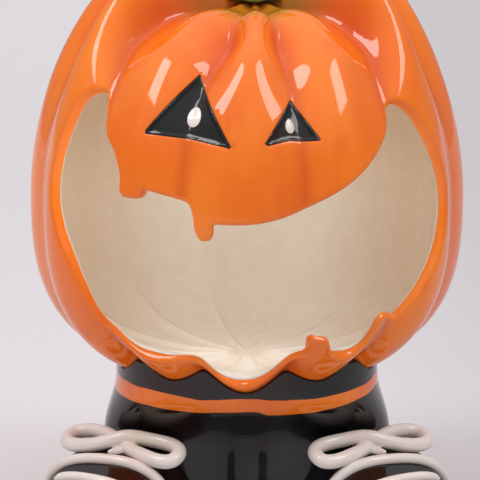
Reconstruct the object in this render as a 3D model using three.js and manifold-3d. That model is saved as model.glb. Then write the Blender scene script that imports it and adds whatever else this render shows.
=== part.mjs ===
// Ceramic pumpkin figure: a hollow pumpkin head with a huge open mouth, on trousers and two round boots.
// Millimetres, +Z up. The figure stands on z = 0 with its front towards -Y.
import * as THREE from "three";
import { mergeVertices, toCreasedNormals } from "three/addons/utils/BufferGeometryUtils.js";
import Module from "manifold-3d";

const wasm = await Module();
wasm.setup();

// Driving dimensions
const GAP = 0.3; // clearance between touching pieces
const HEAD_CENTRE_Z = 186;
const HEAD_RADIUS = 118.6; // half width at the widest ring
const HEAD_DEPTH_RATIO = 0.95; // front to back over side to side
const HEAD_LOWER_HEIGHT = 101;
const HEAD_LOWER_POWER = 2.75; // above 2 makes the lower half boxy
const HEAD_UPPER_POWER = 1.9;
const SIDE_UPPER_HEIGHT = 161; // dome height that the side and back lobes follow
const FACE_UPPER_HEIGHT = 129; // the face lobes are lower
const FACE_DIP = 7; // and bend back early below the crown
const CROWN_HEIGHT = 108; // where the lobes dip to the stem
const CROWN_SHIFT = 4; // the crown sits a little to the right
const CHIN_DROP = 4; // extra depth of the front lobe below the mouth
const GROOVE = 0.045; // groove depth over radius at the waist of the pumpkin
const GROOVE_TOP = 0.1;
const GROOVE_BOTTOM = 0.06;
const WALL = 5.7; // casting
const LINING = 1; // cream glaze coat
const EYE_RECESS = 1.6;
const STEM_HEIGHT = 50;
const STEM_RADIUS = 13;
const WAIST_TOP = 104;
const WAIST_Y = -3;
const BAND_LOW = 82;
const BAND_HIGH = 90;
const TROUSER_WALL = 6;
const TROUSER_BOTTOM = 24;
const SOLE = 7;
const BOOT_WALL = 6;
const BOOT_LENGTH_FRONT = 120; // ankle centre to toe tip
const BOOT_LENGTH_BACK = 40; // ankle centre to heel
const BOOT_HALF_WIDTH = 41;
const BOOT_HEEL_HALF_WIDTH = 28;
const BOOT_HEIGHT = 56;
const TOE_HEIGHT = 42;
const BOOT_ANKLE = [45, 2];
const TOE_OUT = 30; // degrees
const COIL = 3.6; // radius of the lace coils
const BOW_STATION = 53; // distance of the bow from the ankle centre
const BOW_SHIFT = 6; // the bow's knot sits a little towards the other boot
const BOW_REACH = [38, 37]; // outer and inner loop
const BOW_TILT = [0.27, 0.45]; // how steeply each loop slopes down towards the toe
const BOW_DROOP = [0, 0.16]; // and towards its tip

// Each lace: its distance from the ankle centre, how much further forward it lies on the outer side,
// and how far round the boot it runs on the outer and inner side, in degrees.
const LACES = [
  { name: "top", station: 66.5, skew: 4, outer: 68, inner: 62 },
  { name: "middle", station: 80, skew: 0, outer: 33, inner: 56 },
  { name: "lower", station: 94, skew: 0, outer: 33, inner: 48 },
];

// The seams between the twelve lobes, as azimuths in degrees from the front, positive to +X.
const SEAMS = [-194.5, -165, -135, -105, -75, -46, -17.5, 15.5, 45.5, 75, 105, 135, 165.5, 195];

// The mouth as azimuth and elevation in degrees about the head's centre.
// It runs down the left side, along the lower edge with two teeth, up the right side,
// then back along the upper lip, which has two hanging teeth.
const MOUTH_LEFT = [
  [-49, 34.5], [-53, 32.5], [-56.5, 28.5], [-60, 20], [-62, 12], [-62, 4], [-59, -4],
  [-54.5, -11], [-51, -19], [-48.5, -27], [-45, -33], [-37, -36.5], [-28, -38], [-20.5, -39],
  [-16, -43], [-11, -47], [-2, -48.5], [6, -45.5], [12, -41], [19, -36],
];
const TOOTH_LOWER_LEFT = [[18, -30], [24, -30.5]];
const MOUTH_BOTTOM = [[27, -36], [34, -37], [39, -34.5], [40.5, -29]];
const TOOTH_LOWER_RIGHT = [[40.5, -26.5], [43.5, -25.5]];
const MOUTH_RIGHT = [
  [48, -27.5], [53.5, -20.5], [58.5, -14], [62, -8], [64.5, 0], [64, 8], [61, 16],
  [57.5, 22], [54, 27], [49.5, 31], [46.5, 30.5],
];
const LIP_RIGHT = [
  [45.5, 27], [43.5, 23.5], [37.5, 18], [27, 11], [13.5, 5], [7, 3], [0, 2], [-9, 2],
];
const TOOTH_LONG = [[-9, -1], [-10.5, -2.7], [-12.5, -2.5], [-14, 0]];
const LIP_MIDDLE = [[-14.5, 3.5], [-15.5, 6.5], [-18, 8], [-27.5, 10]];
const TOOTH_SHORT = [[-29, 7.5], [-34, 7.5], [-35.3, 9]];
const LIP_LEFT = [[-35.5, 13], [-39, 18.5], [-44, 23], [-46.5, 28.5]];

const LEFT_EYE = [[-17.5, 43], [-30, 24], [-17, 24], [-4, 21]];
const RIGHT_EYE = [[14, 35.5], [4, 21.5], [12, 23.5], [21, 23]];
const LEFT_PUPIL = { azimuth: -16.3, elevation: 30.3, across: 2.1, up: 2.8 };
const RIGHT_PUPIL = { azimuth: 12.5, elevation: 27.6, across: 1.3, up: 1.9 };

const ORANGE = 0xf27a22;
const CREAM = 0xd8c8b2;
const BLACK = 0x161618;
const WHITE = 0xe8ded6;
const GREEN = 0x4b732d;

const rad = THREE.MathUtils.degToRad;
const smooth = (low, high, value) => THREE.MathUtils.smoothstep(value, low, high);
const mix = THREE.MathUtils.lerp;

// Solids and booleans
function solid(geometry) {
  const bare = geometry.clone();
  bare.deleteAttribute("normal");
  bare.deleteAttribute("uv");
  const merged = mergeVertices(bare, 1e-4);
  const made = new wasm.Manifold(
    new wasm.Mesh({
      numProp: 3,
      vertProperties: merged.attributes.position.array,
      triVerts: new Uint32Array(merged.index.array),
    }),
  );
  return made;
}

function geometryOf(made) {
  const mesh = made.getMesh();
  const geometry = new THREE.BufferGeometry();
  geometry.setAttribute("position", new THREE.BufferAttribute(mesh.vertProperties, 3));
  geometry.setIndex(new THREE.BufferAttribute(mesh.triVerts, 1));
  return toCreasedNormals(geometry, rad(40));
}

// A ball of columns by rows, whose points are put in place by a function of azimuth and row.
// Columns start at a seam of the head. Row 0 is the top point and the last row is the bottom point.
function moulded(columns, rows, place) {
  const ball = new THREE.SphereGeometry(1, columns, rows);
  const points = ball.attributes.position;
  for (let i = 0; i < points.count; i += 1) {
    const row = Math.floor(i / (columns + 1));
    const column = i % (columns + 1);
    const azimuth = (360 * (column % columns)) / columns - 165;
    const p = place(azimuth, row);
    points.setXYZ(i, p.x, p.y, p.z);
  }
  return ball;
}

// Pumpkin head
// Even steps round the ball become even steps inside each lobe.
function warpAzimuth(even) {
  const lobe = Math.floor((even + 195) / 30);
  const part = (even + 195) / 30 - lobe;
  return mix(SEAMS[lobe], SEAMS[lobe + 1], part);
}

// Elevations of the rings of points on the inside of the head, closer near the crown
const INNER_ROWS = [90, 84, 78, 72, 66, 60, 53, 45, 36, 27, 18, 9, 0, -10, -20, -30, -40, -52, -66, -78, -90];

// -1 and 1 at a lobe's seams, 0 on its crest
function acrossLobe(azimuth) {
  let lobe = 0;
  while (lobe < SEAMS.length - 2 && azimuth > SEAMS[lobe + 1]) lobe += 1;
  return (2 * (azimuth - SEAMS[lobe])) / (SEAMS[lobe + 1] - SEAMS[lobe]) - 1;
}

function headRadius(azimuth, elevation, depth) {
  const across = Math.cos(rad(elevation));
  const up = Math.sin(rad(elevation));
  const face = 1 - smooth(36, 56, Math.abs(azimuth));
  let base;
  if (elevation < 0) {
    const sum = (across / HEAD_RADIUS) ** HEAD_LOWER_POWER + (-up / HEAD_LOWER_HEIGHT) ** HEAD_LOWER_POWER;
    base = sum ** (-1 / HEAD_LOWER_POWER);
    const underMouth = Math.exp(-((azimuth / 22) ** 2)) * smooth(20, 50, -elevation);
    base += CHIN_DROP * underMouth * smooth(0, 20, 90 + elevation);
  } else {
    const height = mix(SIDE_UPPER_HEIGHT, FACE_UPPER_HEIGHT, face);
    const sum = (across / HEAD_RADIUS) ** HEAD_UPPER_POWER + (up / height) ** HEAD_UPPER_POWER;
    base = sum ** (-1 / HEAD_UPPER_POWER);
    base -= (height - CROWN_HEIGHT) * smooth(58, 90, elevation);
    base -= FACE_DIP * face * smooth(44, 62, elevation) * (1 - smooth(74, 90, elevation));
  }
  const deep = GROOVE + GROOVE_TOP * smooth(20, 65, elevation) + GROOVE_BOTTOM * smooth(20, 65, -elevation);
  const share = deep * (1 - 0.8 * face * smooth(52, 72, elevation)); // faint near the crown of the face
  const bow = Math.cos((Math.PI * acrossLobe(azimuth)) / 2);
  const fade = 1 - smooth(80, 90, Math.abs(elevation));
  const groove = base * share * fade * (1 - Math.sqrt(mix(0.026, 1, bow * bow)));
  if (depth < 3) return base - groove - depth;
  return base - (groove * groove) / (groove + 4) - depth;
}

function headPoint(azimuth, elevation, depth) {
  const radius = headRadius(azimuth, elevation, depth);
  const level = radius * Math.cos(rad(elevation));
  return new THREE.Vector3(
    level * Math.sin(rad(azimuth)) + CROWN_SHIFT * smooth(30, 85, elevation),
    -level * Math.cos(rad(azimuth)) * HEAD_DEPTH_RATIO,
    radius * Math.sin(rad(elevation)) + HEAD_CENTRE_Z,
  );
}

function headSolid(depth) {
  const fine = depth < 3;
  const rows = fine ? 30 : INNER_ROWS.length - 1;
  return solid(
    moulded(fine ? 72 : 36, rows, (even, row) => {
      const elevation = fine ? 90 - (180 * row) / rows : INNER_ROWS[row];
      return headPoint(warpAzimuth(even), elevation, depth);
    }),
  );
}

// A cone from the head's centre through a closed outline of azimuths and elevations
function headCone(outline) {
  const reach = 460;
  const flat = outline.map(([azimuth, elevation]) => new THREE.Vector2(azimuth, elevation));
  if (THREE.ShapeUtils.isClockWise(flat)) flat.reverse();
  const faces = THREE.ShapeUtils.triangulateShape(flat, []);
  const points = [0, 0, HEAD_CENTRE_Z];
  for (const p of flat) {
    const level = reach * Math.cos(rad(p.y));
    points.push(
      level * Math.sin(rad(p.x)),
      -level * Math.cos(rad(p.x)) * HEAD_DEPTH_RATIO,
      HEAD_CENTRE_Z + reach * Math.sin(rad(p.y)),
    );
  }
  const index = [];
  for (const [a, b, c] of faces) index.push(a + 1, b + 1, c + 1);
  for (let i = 0; i < flat.length; i += 1) index.push(0, ((i + 1) % flat.length) + 1, i + 1);
  const cone = new THREE.BufferGeometry();
  cone.setAttribute("position", new THREE.Float32BufferAttribute(points, 3));
  cone.setIndex(index);
  return solid(cone);
}

// Points every few degrees along straight sides, so that each side follows the curved wall
function stepped(outline, step) {
  const points = [];
  outline.forEach(([azimuth, elevation], i) => {
    const [nextAzimuth, nextElevation] = outline[(i + 1) % outline.length];
    const count = Math.max(1, Math.round(Math.hypot(nextAzimuth - azimuth, nextElevation - elevation) / step));
    for (let k = 0; k < count; k += 1)
      points.push([mix(azimuth, nextAzimuth, k / count), mix(elevation, nextElevation, k / count)]);
  });
  return points;
}

function curved(outline, count) {
  const curve = new THREE.SplineCurve(outline.map(([azimuth, elevation]) => new THREE.Vector2(azimuth, elevation)));
  return curve.getPoints(count).map((p) => [p.x, p.y]);
}

function shrunk(outline, share) {
  const middle = [0, 1].map((axis) => outline.reduce((sum, p) => sum + p[axis], 0) / outline.length);
  return outline.map((p) => [mix(middle[0], p[0], share), mix(middle[1], p[1], share)]);
}

function oval(centre) {
  const points = [];
  for (let i = 0; i < 16; i += 1) {
    const turn = (2 * Math.PI * i) / 16;
    points.push([centre.azimuth + centre.across * Math.cos(turn), centre.elevation + centre.up * Math.sin(turn)]);
  }
  return points;
}

const mouth = [
  ...curved(MOUTH_LEFT, 28),
  ...TOOTH_LOWER_LEFT,
  ...curved(MOUTH_BOTTOM, 5),
  ...TOOTH_LOWER_RIGHT,
  ...curved(MOUTH_RIGHT, 15),
  ...curved(LIP_RIGHT, 12),
  ...TOOTH_LONG,
  ...curved(LIP_MIDDLE, 4),
  ...TOOTH_SHORT,
  ...curved(LIP_LEFT, 5),
];
const mouthCone = headCone(mouth);
const headOuter = headSolid(0);
const headGrown = headSolid(-GAP);
const eyeFloor = headSolid(EYE_RECESS);
const eyeCones = [LEFT_EYE, RIGHT_EYE].map((outline) => headCone(stepped(outline, 4)));
const recesses = eyeCones.map((cone) => cone.subtract(eyeFloor));

let shell = headOuter.subtract(headSolid(WALL)).subtract(mouthCone);
for (const recess of recesses) shell = shell.subtract(recess);
const lining = headSolid(WALL + GAP)
  .subtract(headSolid(WALL + GAP + LINING))
  .subtract(mouthCone);

function headLayer(outline, outer, inner) {
  return headCone(outline).intersect(headSolid(outer)).subtract(headSolid(inner));
}

// Stem: a short ribbed stalk that leans back a little
const STEM_ROWS = 10;
function stemPoint(azimuth, row) {
  const elevation = 90 - (180 * row) / STEM_ROWS;
  const t = 1 - row / STEM_ROWS;
  const up = Math.sin(rad(elevation)) * 0.5 + 0.5;
  const flare = mix(1.25, 0.8, smooth(0, 0.45, up)) + 0.22 * smooth(0.6, 1, up);
  const cap = Math.min(1, Math.cos(rad(elevation)) * 2.2);
  const rib = 1 + 0.09 * Math.cos(rad(azimuth * 6));
  const radius = STEM_RADIUS * flare * cap * rib;
  return new THREE.Vector3(
    CROWN_SHIFT + 5 * t * t + radius * Math.sin(rad(azimuth)),
    6 * t * t - radius * Math.cos(rad(azimuth)),
    HEAD_CENTRE_Z + 106 + STEM_HEIGHT * up,
  );
}
const stem = solid(moulded(24, STEM_ROWS, stemPoint)).subtract(headGrown);

// Boots: a dome over a foot-shaped outline, in a frame with the toe along -Y
function bootHalfWidth(along) {
  return mix(BOOT_HEEL_HALF_WIDTH, BOOT_HALF_WIDTH, smooth(-30, 40, along));
}

function bootHeight(along) {
  return mix(BOOT_HEIGHT, TOE_HEIGHT, smooth(50, 95, along));
}

function bootPoint(azimuth, elevation, inset) {
  const forward = Math.cos(rad(azimuth));
  const sideways = Math.sin(rad(azimuth));
  const centre = (BOOT_LENGTH_FRONT - BOOT_LENGTH_BACK) / 2;
  const half = (BOOT_LENGTH_FRONT + BOOT_LENGTH_BACK) / 2 - inset;
  const out = Math.cos(rad(elevation)) ** 0.75;
  const squarish = (Math.abs(forward) ** 2.3 + Math.abs(sideways) ** 2.3) ** (-1 / 2.3);
  const along = centre + half * forward * squarish * out;
  const wide = (bootHalfWidth(along) - inset) * sideways * squarish * out;
  const rise = Math.max(0, Math.sin(rad(elevation))) ** 0.85;
  return new THREE.Vector3(wide, -along, SOLE + GAP + (bootHeight(along) - inset - SOLE - GAP) * rise);
}

// Turned out by TOE_OUT and moved to its ankle; side is -1 for the left boot
function placeBoot(geometry, side) {
  const made = geometry.clone();
  made.rotateZ(rad(TOE_OUT * side));
  made.translate(BOOT_ANKLE[0] * side, BOOT_ANKLE[1], 0);
  return solid(made);
}

// The dome's rings run from its top to its rim, then straight down by drop, then to the middle of its base.
function bootDome(inset, drop) {
  const rings = 9;
  return moulded(32, rings + 2, (azimuth, row) => {
    const p = bootPoint(azimuth, Math.max(0, 90 - (90 * row) / rings), inset);
    if (row > rings) p.z -= drop;
    if (row > rings + 1) p.set(0, -(BOOT_LENGTH_FRONT - BOOT_LENGTH_BACK) / 2, p.z);
    return p;
  });
}

function bootSolid(side, inset, drop) {
  return placeBoot(bootDome(inset, drop), side);
}

// The sole: a slab with the boot's outline, and a vent hole through it
function solePlate(side) {
  const outline = [];
  for (let i = 0; i < 32; i += 1) {
    const p = bootPoint((360 * i) / 32, 0, 0.8);
    outline.push(new THREE.Vector2(p.x, p.y));
  }
  const shape = new THREE.Shape(outline);
  const vent = new THREE.Path();
  vent.absarc(0, -10, 4, 0, 2 * Math.PI, true);
  shape.holes.push(vent);
  const plate = new THREE.ExtrudeGeometry(shape, {
    depth: SOLE - 1.5,
    bevelThickness: 0.75,
    bevelSize: 0.75,
    bevelSegments: 1,
    curveSegments: 6,
  });
  plate.translate(0, 0, 0.75);
  return placeBoot(plate, side);
}

// A round coil along a curve; closed curves join end to end
function coil(curve, radius, steps, sides, ends) {
  const closed = ends === "closed";
  const frames = curve.computeFrenetFrames(steps, closed);
  const rings = [];
  for (let i = 0; i <= steps; i += 1) {
    const t = i / steps;
    const centre = curve.getPointAt(t);
    const taper = closed ? 1 : Math.sqrt(Math.max(0.05, 1 - Math.abs(2 * t - 1) ** 9));
    const ring = [];
    for (let k = 0; k < sides; k += 1) {
      const turn = (2 * Math.PI * k) / sides;
      ring.push(
        centre
          .clone()
          .addScaledVector(frames.normals[i], Math.cos(turn) * radius * taper)
          .addScaledVector(frames.binormals[i], Math.sin(turn) * radius * taper),
      );
    }
    rings.push(ring);
  }
  const points = [];
  const index = [];
  const count = closed ? steps : steps + 1;
  for (let i = 0; i < count; i += 1) for (const p of rings[i]) points.push(p.x, p.y, p.z);
  for (let i = 0; i < steps; i += 1) {
    const next = closed ? (i + 1) % steps : i + 1;
    for (let k = 0; k < sides; k += 1) {
      const a = i * sides + k;
      const b = i * sides + ((k + 1) % sides);
      const c = next * sides + ((k + 1) % sides);
      const d = next * sides + k;
      index.push(a, b, c, a, c, d);
    }
  }
  if (!closed) {
    const first = points.length / 3;
    const start = curve.getPointAt(0).addScaledVector(curve.getTangentAt(0), -radius * 0.4);
    const finish = curve.getPointAt(1).addScaledVector(curve.getTangentAt(1), radius * 0.4);
    points.push(start.x, start.y, start.z, finish.x, finish.y, finish.z);
    for (let k = 0; k < sides; k += 1) {
      const next = (k + 1) % sides;
      index.push(first, next, k);
      index.push(first + 1, steps * sides + k, steps * sides + next);
    }
  }
  const geometry = new THREE.BufferGeometry();
  geometry.setAttribute("position", new THREE.Float32BufferAttribute(points, 3));
  geometry.setIndex(index);
  return geometry;
}

// The height of the dome above a place in its outline, on the same superellipse as bootPoint
function bootTop(along, across) {
  const centre = (BOOT_LENGTH_FRONT - BOOT_LENGTH_BACK) / 2;
  const half = (BOOT_LENGTH_FRONT + BOOT_LENGTH_BACK) / 2;
  const lengthShare = Math.abs(along - centre) / half;
  const widthShare = Math.abs(across) / bootHalfWidth(along);
  const out = Math.min(1, (lengthShare ** 2.3 + widthShare ** 2.3) ** (1 / 2.3));
  const elevation = Math.acos(out ** (1 / 0.75));
  return SOLE + GAP + (bootHeight(along) - SOLE - GAP) * Math.sin(elevation) ** 0.85;
}

// A lace lies across the boot from one side to the other, half sunk before the boot is cut away
function laceCurve(lace, side) {
  const points = [];
  const count = 10;
  for (let i = 0; i <= count; i += 1) {
    const turn = mix(-lace.outer, lace.inner, i / count) * -side;
    const across = bootHalfWidth(lace.station) * Math.sin(rad(turn));
    const along = lace.station + lace.skew * side * Math.sin(rad(turn)) - 10 * (1 - Math.cos(rad(turn)));
    points.push(new THREE.Vector3(across * 1.03, -along, bootTop(along, across) + COIL * 0.45));
  }
  return new THREE.CatmullRomCurve3(points);
}

// The bow: two loops that lean forward and the crossing between them, lying on the instep
function bowSolid(side) {
  const height = BOOT_HEIGHT + COIL + GAP;
  const loop = (reach, tilt, droop) => {
    const points = [];
    for (let i = 0; i < 8; i += 1) {
      const angle = (2 * Math.PI * i) / 8;
      const x = reach * (0.5 - 0.46 * Math.cos(angle));
      const y = -8.6 * Math.sin(angle) * (0.7 + 0.3 * (x / reach));
      const z = height + y * tilt - Math.abs(x) * droop;
      points.push(new THREE.Vector3(x - BOW_SHIFT * side, y - BOW_STATION, z));
    }
    return placeBoot(coil(new THREE.CatmullRomCurve3(points, true), COIL, 20, 8, "closed"), side);
  };
  const knot = moulded(10, 6, (azimuth, row) => {
    const elevation = 90 - 30 * row;
    const level = Math.cos(rad(elevation));
    return new THREE.Vector3(
      5.5 * level * Math.sin(rad(azimuth)) - BOW_SHIFT * side,
      -BOW_STATION - 6 * level * Math.cos(rad(azimuth)),
      height + 3.5 * Math.sin(rad(elevation)),
    );
  });
  const outerLoop = loop(BOW_REACH[0] * side, BOW_TILT[0], BOW_DROOP[0]);
  const innerLoop = loop(-BOW_REACH[1] * side, BOW_TILT[1], BOW_DROOP[1]);
  return outerLoop.add(innerLoop).add(placeBoot(knot, side));
}

// Trousers: a boxy waist that splits into two short legs
function trouserPoint(azimuth, z, inset) {
  const low = smooth(0, 34, 90 - z);
  const halfWidth = mix(72, 79, low) - inset;
  const halfDepth = mix(68, 44, low) - inset;
  const forward = Math.cos(rad(azimuth));
  const sideways = Math.sin(rad(azimuth));
  const power = 2.5;
  const squarish = (Math.abs(forward) ** power + Math.abs(sideways) ** power) ** (-1 / power);
  const x = halfWidth * sideways * squarish;
  const valley = 9 * smooth(0, 40, 84 - z) * Math.exp(-((x / 13) ** 2));
  const y = (halfDepth - valley * Math.abs(forward)) * forward * squarish;
  return new THREE.Vector3(x, WAIST_Y - y, z);
}

function trouserSolid(inset, bottom, top, rows) {
  const steps = rows + 2;
  return solid(
    moulded(40, steps, (azimuth, row) => {
      const z = mix(top, bottom, THREE.MathUtils.clamp((row - 1) / rows, 0, 1));
      const p = trouserPoint(azimuth, z, inset);
      if (row === 0 || row === steps) p.set(0, WAIST_Y, z);
      return p;
    }),
  );
}

const boots = [-1, 1].map((side) => bootSolid(side, 0, 0));
const bootsGrown = [-1, 1].map((side) => bootSolid(side, -GAP, SOLE + 2));
const groove = trouserSolid(-3, BAND_LOW - GAP, BAND_HIGH + GAP, 1).subtract(
  trouserSolid(1.2, BAND_LOW - 2, BAND_HIGH + 2, 1),
);
const waistband = trouserSolid(-0.2, BAND_LOW, BAND_HIGH, 1).subtract(
  trouserSolid(0.9, BAND_LOW - 2, BAND_HIGH + 2, 1),
);
let trousers = trouserSolid(0, TROUSER_BOTTOM, WAIST_TOP, 8)
  .subtract(trouserSolid(TROUSER_WALL, TROUSER_BOTTOM + 20, WAIST_TOP + 10, 5))
  .subtract(headGrown)
  .subtract(groove);
for (const grown of bootsGrown) trousers = trousers.subtract(grown);
const trousersGrown = trouserSolid(-GAP, TROUSER_BOTTOM, WAIST_TOP, 8);

const figure = new THREE.Group();

function addPiece(name, made, color, roughness) {
  const material = new THREE.MeshStandardMaterial({ color, roughness, metalness: 0 });
  const mesh = new THREE.Mesh(geometryOf(made), material);
  mesh.name = name;
  figure.add(mesh);
}

addPiece("pumpkin_shell", shell, ORANGE, 0.12);
addPiece("bowl_lining", lining, CREAM, 0.12);
addPiece("stem", stem, GREEN, 0.2);
[LEFT_EYE, RIGHT_EYE].forEach((outline, i) => {
  const side = ["left", "right"][i];
  const pupil = [LEFT_PUPIL, RIGHT_PUPIL][i];
  addPiece(`${side}_eye`, headLayer(shrunk(stepped(outline, 4), 0.965), 0.6, EYE_RECESS - GAP), BLACK, 0.1);
  addPiece(`${side}_pupil`, headLayer(oval(pupil), -0.1, GAP), WHITE, 0.2);
});
addPiece("trousers", trousers, BLACK, 0.08);
addPiece("waistband", waistband, ORANGE, 0.12);
[-1, 1].forEach((side, i) => {
  const name = ["left", "right"][i];
  const upper = boots[i].subtract(bootSolid(side, BOOT_WALL, 20));
  addPiece(`${name}_boot`, upper, BLACK, 0.08);
  addPiece(`${name}_sole`, solePlate(side), BLACK, 0.2);
  let bow = bowSolid(side).subtract(trousersGrown).subtract(bootsGrown[i]);
  for (const lace of LACES) {
    const strap = placeBoot(coil(laceCurve(lace, side), COIL, 14, 8, "tapered"), side).subtract(bootsGrown[i]);
    addPiece(`${name}_lace_${lace.name}`, strap, WHITE, 0.15);
    bow = bow.subtract(placeBoot(coil(laceCurve(lace, side), COIL + GAP, 14, 8, "tapered"), side));
  }
  addPiece(`${name}_bow`, bow, WHITE, 0.15);
});

export default figure;
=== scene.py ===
import math

import bpy
import numpy as np
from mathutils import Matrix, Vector


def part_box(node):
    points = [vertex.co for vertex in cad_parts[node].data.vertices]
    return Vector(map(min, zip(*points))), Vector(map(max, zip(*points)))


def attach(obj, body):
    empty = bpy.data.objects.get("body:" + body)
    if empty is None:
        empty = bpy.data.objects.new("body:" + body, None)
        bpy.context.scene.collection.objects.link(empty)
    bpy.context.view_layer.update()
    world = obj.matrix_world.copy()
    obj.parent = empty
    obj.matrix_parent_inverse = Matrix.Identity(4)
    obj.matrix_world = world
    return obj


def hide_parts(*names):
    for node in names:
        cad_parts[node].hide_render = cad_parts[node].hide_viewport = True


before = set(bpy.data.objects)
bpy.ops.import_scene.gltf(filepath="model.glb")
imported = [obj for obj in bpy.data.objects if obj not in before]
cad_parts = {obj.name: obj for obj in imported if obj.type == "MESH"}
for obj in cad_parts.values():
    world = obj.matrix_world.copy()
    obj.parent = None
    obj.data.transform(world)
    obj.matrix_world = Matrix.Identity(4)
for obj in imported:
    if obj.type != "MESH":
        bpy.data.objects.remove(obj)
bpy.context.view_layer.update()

# Ceramic pumpkin figure. Lengths in the dictionaries are millimetres, angles are degrees.
# Azimuth 0 is the front (-Y) and grows towards +X; elevation is about the head's centre.
millimetre = 0.001
scene = bpy.context.scene
scene.view_settings.view_transform = "Standard"
print("frame loaded:", len(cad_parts), "nodes")


def smoothStep(low, high, value):
    share = np.clip((value - low) / (high - low), 0, 1)
    return share * share * (3 - 2 * share)


def mix(first, second, share):
    return first + (second - first) * share


# Camera and lights

view = {
    "target": (-3.8, 0, 160.8),
    "distance": 1700,
    "elevation": 11,
    "widthAtTarget": 264,
    "sensor": 36,
}


def addCamera():
    camera = bpy.data.objects.new("camera", bpy.data.cameras.new("camera"))
    scene.collection.objects.link(camera)
    target = Vector(view["target"]) * millimetre
    tilt = math.radians(view["elevation"])
    away = Vector((0, -math.cos(tilt), math.sin(tilt)))
    camera.location = target + away * view["distance"] * millimetre
    camera.rotation_euler = (-away).to_track_quat("-Z", "Y").to_euler()
    camera.data.sensor_width = view["sensor"]
    camera.data.lens = view["sensor"] * view["distance"] / view["widthAtTarget"]
    camera.data.clip_start = 0.05
    scene.camera = camera


addCamera()

studio = {
    "softboxAzimuth": (-55, 58),
    "softboxElevation": (54, 50),
    "softboxDistance": 1.5,
    "softboxSize": (0.53, 0.58),
    "softboxPower": (7.0, 5.6),
    "skyUp": 1.16,
    "skySide": 0.34,
    "skyTint": (1.0, 0.985, 1.0),
    "bowlLightSize": (0.11, 0.07),
    "bowlLightPlace": (-0.012, -0.075, 0.192),
    "bowlLightTilt": 88,
    "bowlLightPower": 0.115,
}


def addSoftboxes():
    centre = Vector((0, 0, 0.19))
    for azimuth, elevation, power in zip(
        studio["softboxAzimuth"], studio["softboxElevation"], studio["softboxPower"]
    ):
        turn, tilt = math.radians(azimuth), math.radians(elevation)
        away = Vector((math.sin(turn) * math.cos(tilt), -math.cos(turn) * math.cos(tilt), math.sin(tilt)))
        light = bpy.data.lights.new("softbox", "AREA")
        light.shape = "RECTANGLE"
        light.size, light.size_y = studio["softboxSize"]
        light.energy = power
        lamp = bpy.data.objects.new("softbox", light)
        scene.collection.objects.link(lamp)
        lamp.location = centre + away * studio["softboxDistance"]
        lamp.rotation_euler = away.to_track_quat("Z", "Y").to_euler()


# A soft panel in the mouth that shines into the bowl only.
def addBowlLight():
    light = bpy.data.lights.new("bowlLight", "AREA")
    light.shape = "RECTANGLE"
    light.size, light.size_y = studio["bowlLightSize"]
    light.energy = studio["bowlLightPower"]
    lamp = bpy.data.objects.new("bowlLight", light)
    scene.collection.objects.link(lamp)
    lamp.location = studio["bowlLightPlace"]
    lamp.rotation_euler = (math.radians(studio["bowlLightTilt"]), 0, 0)
    lamp.visible_camera = False
    lamp.visible_glossy = False


def addSky():
    world = bpy.data.worlds.new("sky")
    scene.world = world
    world.use_nodes = True
    nodes, links = world.node_tree.nodes, world.node_tree.links
    background = nodes["Background"]
    place = nodes.new("ShaderNodeTexCoord")
    split = nodes.new("ShaderNodeSeparateXYZ")
    ramp = nodes.new("ShaderNodeValToRGB")
    ramp.color_ramp.elements[0].position = 0.35
    ramp.color_ramp.elements[1].position = 1.0
    side, up, tint = studio["skySide"], studio["skyUp"], studio["skyTint"]
    ramp.color_ramp.elements[0].color = (side * tint[0], side * tint[1], side * tint[2], 1)
    ramp.color_ramp.elements[1].color = (up * tint[0], up * tint[1], up * tint[2], 1)
    links.new(place.outputs["Generated"], split.inputs[0])
    links.new(split.outputs["Z"], ramp.inputs["Fac"])
    links.new(ramp.outputs["Color"], background.inputs["Color"])


addSoftboxes()
addBowlLight()
addSky()


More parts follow.
